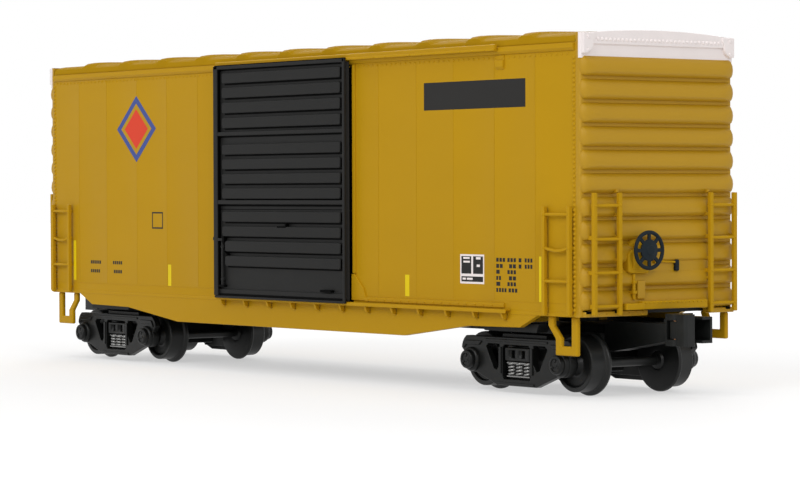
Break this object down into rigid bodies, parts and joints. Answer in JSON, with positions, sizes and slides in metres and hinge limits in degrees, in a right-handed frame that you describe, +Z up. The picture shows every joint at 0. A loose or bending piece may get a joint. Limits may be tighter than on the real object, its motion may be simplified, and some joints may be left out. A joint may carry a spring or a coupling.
{
  "type": "model railroad boxcar",
  "caption": "High-cube model boxcar with ribbed ends, sliding side doors, ladders, hand brake wheel, knuckle couplers and two swivelling sprung trucks, for three-rail O gauge track",
  "frame": {"origin": "centre of the model's base: midway between the coupler faces and between the sides, at the height of the wheel flanges' lowest points", "axes": "+X points to the end with the brake wheel, -Y is the side that the picture shows, +Z is up"},
  "size_m": [0.3228, 0.0656, 0.1056],
  "materials": {
    "yellow_plastic": "semi-gloss moulded plastic, ochre yellow",
    "dark_plastic": "dark grey moulded plastic",
    "black_plastic": "black moulded plastic",
    "black_metal": "black painted die casting",
    "wheel_metal": "dark blackened wheel metal",
    "steel": "bright spring steel"
  },
  "bodies": {
    "car": {"roof": "yellow_plastic", "side_front": "yellow_plastic", "side_back": "yellow_plastic", "end_b": "yellow_plastic", "end_a": "yellow_plastic", "floor": "black_plastic", "centre_sill": "black_plastic", "brake_cylinder": "black_plastic", "air_reservoir": "black_plastic", "upper_track_front": "yellow_plastic", "upper_track_back": "yellow_plastic", "lower_track_front": "yellow_plastic", "lower_track_back": "yellow_plastic", "brake_wheel": "dark_plastic", "brake_housing": "yellow_plastic", "platform_a": "yellow_plastic", "platform_b": "yellow_plastic", "side_ladder_a_front": "yellow_plastic", "end_ladder_a_front": "yellow_plastic", "step_a_front": "yellow_plastic", "side_ladder_a_back": "yellow_plastic", "end_ladder_a_back": "yellow_plastic", "step_a_back": "yellow_plastic", "side_ladder_b_front": "yellow_plastic", "end_ladder_b_front": "yellow_plastic", "step_b_front": "yellow_plastic", "side_ladder_b_back": "yellow_plastic", "end_ladder_b_back": "yellow_plastic", "step_b_back": "yellow_plastic"},
    "door_front": {"door_front": "dark_plastic"},
    "door_back": {"door_back": "dark_plastic"},
    "truck_b": {"truck_b_bolster": "black_metal", "truck_b_frame_front": "black_metal", "truck_b_frame_back": "black_metal", "truck_b_springs_front": "steel", "truck_b_springs_back": "steel", "coupler_b": "black_metal", "kingpin_b": "steel"},
    "wheelset_b1": {"wheelset_b1": "wheel_metal"},
    "wheelset_b2": {"wheelset_b2": "wheel_metal"},
    "knuckle_b": {"knuckle_b": "black_metal"},
    "truck_a": {"truck_a_bolster": "black_metal", "truck_a_frame_front": "black_metal", "truck_a_frame_back": "black_metal", "truck_a_springs_front": "steel", "truck_a_springs_back": "steel", "coupler_a": "black_metal", "kingpin_a": "steel"},
    "wheelset_a1": {"wheelset_a1": "wheel_metal"},
    "wheelset_a2": {"wheelset_a2": "wheel_metal"},
    "knuckle_a": {"knuckle_a": "black_metal"}
  },
  "joints": [
    {"name": "truck_b_swivel", "type": "hinge", "parent": "car", "child": "truck_b", "pos_m": [0.1099, 0, 0.02], "axis": [0, 0, 1], "range_deg": [-12, 12]},
    {"name": "wheelset_b1_turn", "type": "hinge", "parent": "truck_b", "child": "wheelset_b1", "pos_m": [0.1302, 0, 0.0093], "axis": [0, 1, 0], "continuous": true},
    {"name": "wheelset_b2_turn", "type": "hinge", "parent": "truck_b", "child": "wheelset_b2", "pos_m": [0.0896, 0, 0.0093], "axis": [0, 1, 0], "continuous": true},
    {"name": "knuckle_b_open", "type": "hinge", "parent": "truck_b", "child": "knuckle_b", "pos_m": [0.15546, -0.0033, 0.0195], "axis": [0, 0, -1], "range_deg": [0, 40]},
    {"name": "truck_a_swivel", "type": "hinge", "parent": "car", "child": "truck_a", "pos_m": [-0.1099, 0, 0.02], "axis": [0, 0, 1], "range_deg": [-12, 12]},
    {"name": "wheelset_a1_turn", "type": "hinge", "parent": "truck_a", "child": "wheelset_a1", "pos_m": [-0.1302, 0, 0.0093], "axis": [0, 1, 0], "continuous": true},
    {"name": "wheelset_a2_turn", "type": "hinge", "parent": "truck_a", "child": "wheelset_a2", "pos_m": [-0.0896, 0, 0.0093], "axis": [0, 1, 0], "continuous": true},
    {"name": "knuckle_a_open", "type": "hinge", "parent": "truck_a", "child": "knuckle_a", "pos_m": [-0.15546, 0.0033, 0.0195], "axis": [0, 0, -1], "range_deg": [0, 40]},
    {"name": "door_front_slide", "type": "slide", "parent": "car", "child": "door_front", "axis": [1, 0, 0], "range_m": [0, 0.073]},
    {"name": "door_back_slide", "type": "slide", "parent": "car", "child": "door_back", "axis": [-1, 0, 0], "range_m": [0, 0.073]}
  ]
}
